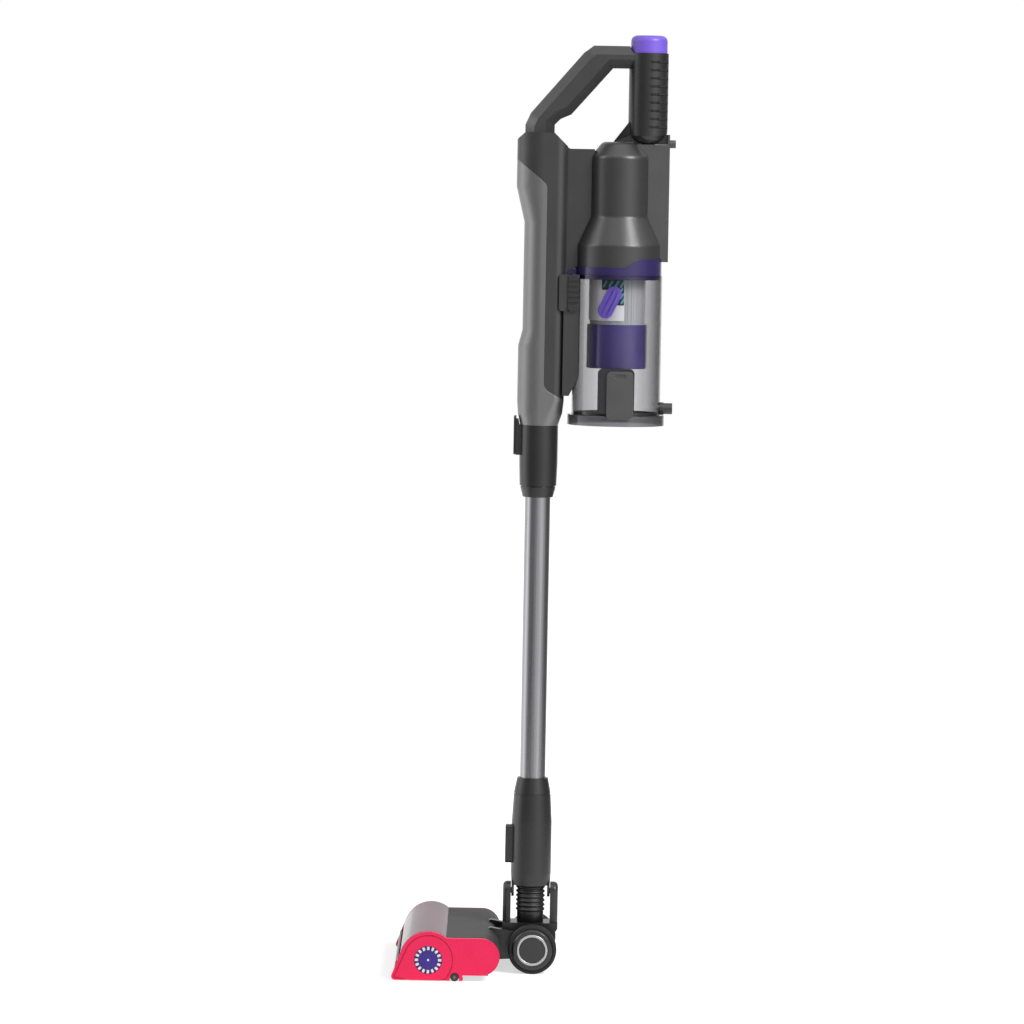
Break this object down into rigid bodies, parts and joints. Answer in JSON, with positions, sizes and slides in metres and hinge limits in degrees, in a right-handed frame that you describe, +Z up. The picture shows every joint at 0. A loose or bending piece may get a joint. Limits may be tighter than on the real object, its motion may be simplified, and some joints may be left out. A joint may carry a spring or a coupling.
{
  "type": "cordless stick vacuum",
  "caption": "Cordless stick vacuum with a powered floor head, swivel neck, lift-off wand, hand-held unit with clear dust bin and round grip.",
  "frame": {"origin": "on the floor under the middle of the whole object's bounding box", "axes": "+Z up along the wand, +X towards the back (the dock pegs), +Y to the right-hand side, so the left side seen in the picture faces -Y"},
  "size_m": [0.3174, 0.25, 1.104],
  "materials": {
    "dark_plastic": "fine matt texture",
    "grey_shell": "satin",
    "silver_cover": "satin metallic paint",
    "pink_plastic": "gloss",
    "purple_plastic": "satin",
    "dial_plastic": "satin",
    "white_plastic": "satin",
    "purple_collar": "clear tinted",
    "clear_bin": "clear",
    "smoke_door": "clear tinted",
    "clear_window": "frosted clear",
    "shroud_mesh": "perforated",
    "hose_rubber": "matt",
    "tyre_rubber": "matt",
    "plush": "plush pile",
    "felt": "felt",
    "filter_paper": "pleated",
    "tube_aluminium": "brushed",
    "cast_aluminium": "turned",
    "core_plastic": "moulded",
    "core_aluminium": "drawn tube",
    "sole_steel": "pressed sheet",
    "cell_jacket": "wrapped",
    "motor_steel": "plated",
    "axle_steel": "ground",
    "board": "printed board"
  },
  "bodies": {
    "floor_head": {"head_shell": "grey_shell", "head_sole": "sole_steel", "end_plate_left": "pink_plastic", "end_plate_right": "pink_plastic", "roller_window": "clear_window", "front_bumper": "clear_window", "mouth_strip": "felt", "brush_motor": "motor_steel", "drive_belt": "hose_rubber", "hinge_bracket": "dark_plastic", "stub_axles": "axle_steel"},
    "motor_drive": {"motor_pulley": "axle_steel"},
    "brush_roller": {"roller_core": "core_aluminium", "roller_sleeve": "plush", "roller_pulley": "core_plastic"},
    "brush_dial_unit": {"brush_dial": "dial_plastic", "dial_fins": "white_plastic"},
    "wheel_left_unit": {"wheel_left": "dark_plastic", "tyre_left": "tyre_rubber"},
    "wheel_right_unit": {"wheel_right": "dark_plastic", "tyre_right": "tyre_rubber"},
    "glide_left_unit": {"glide_wheel_left": "dark_plastic"},
    "glide_right_unit": {"glide_wheel_right": "dark_plastic"},
    "neck": {"neck_yoke": "dark_plastic", "neck_hose": "hose_rubber"},
    "connector": {"lower_connector": "dark_plastic"},
    "lower_release": {"lower_button": "dark_plastic"},
    "wand": {"wand_tube": "tube_aluminium", "upper_connector": "dark_plastic"},
    "upper_release": {"upper_button": "dark_plastic"},
    "handheld": {"duct_cover": "silver_cover", "body_left": "dark_plastic", "body_right": "dark_plastic", "spine_rear": "dark_plastic", "grip_sleeve": "dark_plastic", "motor_cover": "dark_plastic", "suction_motor": "cast_aluminium", "motor_mounts": "hose_rubber", "main_filter": "filter_paper", "bin_collar": "purple_collar", "cyclone_shroud": "shroud_mesh", "cyclone_skirt": "purple_collar", "inlet_panel": "white_plastic", "inlet_vane": "purple_plastic", "inlet_duct": "white_plastic", "battery_cells": "cell_jacket", "battery_tray": "core_plastic", "control_board": "board", "power_switch": "white_plastic"},
    "power_cap": {"power_button": "purple_plastic"},
    "fan": {"fan_rotor": "cast_aluminium"},
    "bin_unit": {"dust_bin": "clear_bin", "latch_base": "dark_plastic", "lower_peg": "dark_plastic", "door_pin": "axle_steel"},
    "door_unit": {"bin_door": "smoke_door", "door_seal": "hose_rubber"},
    "latch_key": {"bin_latch": "dark_plastic"},
    "catch_slider": {"bin_catch": "dark_plastic"}
  },
  "joints": [
    {"name": "roller_spin", "type": "hinge", "parent": "floor_head", "child": "brush_roller", "pos_m": [-0.11625, 0, 0.0245], "axis": [0, 1, 0], "continuous": true},
    {"name": "pulley_spin", "type": "hinge", "parent": "floor_head", "child": "motor_drive", "pos_m": [-0.06426, 0, 0.0288], "axis": [0, 1, 0], "continuous": true},
    {"name": "dial_turn", "type": "hinge", "parent": "floor_head", "child": "brush_dial_unit", "pos_m": [-0.11625, 0, 0.0245], "axis": [0, 1, 0], "range_deg": [0, 45]},
    {"name": "wheel_left_spin", "type": "hinge", "parent": "floor_head", "child": "wheel_left_unit", "pos_m": [0.00455, 0, 0.0285], "axis": [0, 1, 0], "continuous": true},
    {"name": "wheel_right_spin", "type": "hinge", "parent": "floor_head", "child": "wheel_right_unit", "pos_m": [0.00455, 0, 0.0285], "axis": [0, 1, 0], "continuous": true},
    {"name": "glide_left_spin", "type": "hinge", "parent": "floor_head", "child": "glide_left_unit", "pos_m": [-0.08529, 0, 0.0048], "axis": [0, 1, 0], "continuous": true},
    {"name": "glide_right_spin", "type": "hinge", "parent": "floor_head", "child": "glide_right_unit", "pos_m": [-0.08529, 0, 0.0048], "axis": [0, 1, 0], "continuous": true},
    {"name": "neck_pitch", "type": "hinge", "parent": "floor_head", "child": "neck", "pos_m": [0.00455, 0, 0.0285], "axis": [0, 1, 0], "range_deg": [0, 75]},
    {"name": "neck_roll", "type": "hinge", "parent": "neck", "child": "connector", "pos_m": [0.00175, 0, 0.09], "axis": [1, 0, 0], "range_deg": [-60, 60], "deforming": ["neck_hose"]},
    {"name": "lower_button_press", "type": "slide", "parent": "connector", "child": "lower_release", "axis": [1, 0, 0], "range_m": [0, 0.0025], "stiffness_N_per_m": 600, "springref_m": -0.002},
    {"name": "wand_lift", "type": "slide", "parent": "connector", "child": "wand", "axis": [0, 0, 1], "range_m": [0, 0.1]},
    {"name": "upper_button_press", "type": "slide", "parent": "wand", "child": "upper_release", "axis": [1, 0, 0], "range_m": [0, 0.0018], "stiffness_N_per_m": 600, "springref_m": -0.002},
    {"name": "handheld_lift", "type": "slide", "parent": "wand", "child": "handheld", "axis": [0, 0, 1], "range_m": [0, 0.05]},
    {"name": "power_press", "type": "slide", "parent": "handheld", "child": "power_cap", "axis": [0, 0, -1], "range_m": [0, 0.0025], "stiffness_N_per_m": 500, "springref_m": -0.002},
    {"name": "fan_spin", "type": "hinge", "parent": "handheld", "child": "fan", "pos_m": [0.09205, 0, 0.887], "axis": [0, 0, 1], "continuous": true},
    {"name": "bin_slide", "type": "slide", "parent": "handheld", "child": "bin_unit", "axis": [0, 0, -1], "range_m": [0, 0.12]},
    {"name": "door_swing", "type": "hinge", "parent": "bin_unit", "child": "door_unit", "pos_m": [0.09205, 0.0615, 0.655], "axis": [1, 0, 0], "range_deg": [0, 90]},
    {"name": "latch_press", "type": "slide", "parent": "bin_unit", "child": "latch_key", "axis": [0, 1, 0], "range_m": [0, 0.0015], "stiffness_N_per_m": 500, "springref_m": -0.002},
    {"name": "catch_slide", "type": "slide", "parent": "handheld", "child": "catch_slider", "axis": [0, 0, -1], "range_m": [0, 0.006], "stiffness_N_per_m": 300, "springref_m": -0.003}
  ],
  "couplings": [
    {"joint": "pulley_spin", "follows": "roller_spin", "ratio": 2}
  ]
}
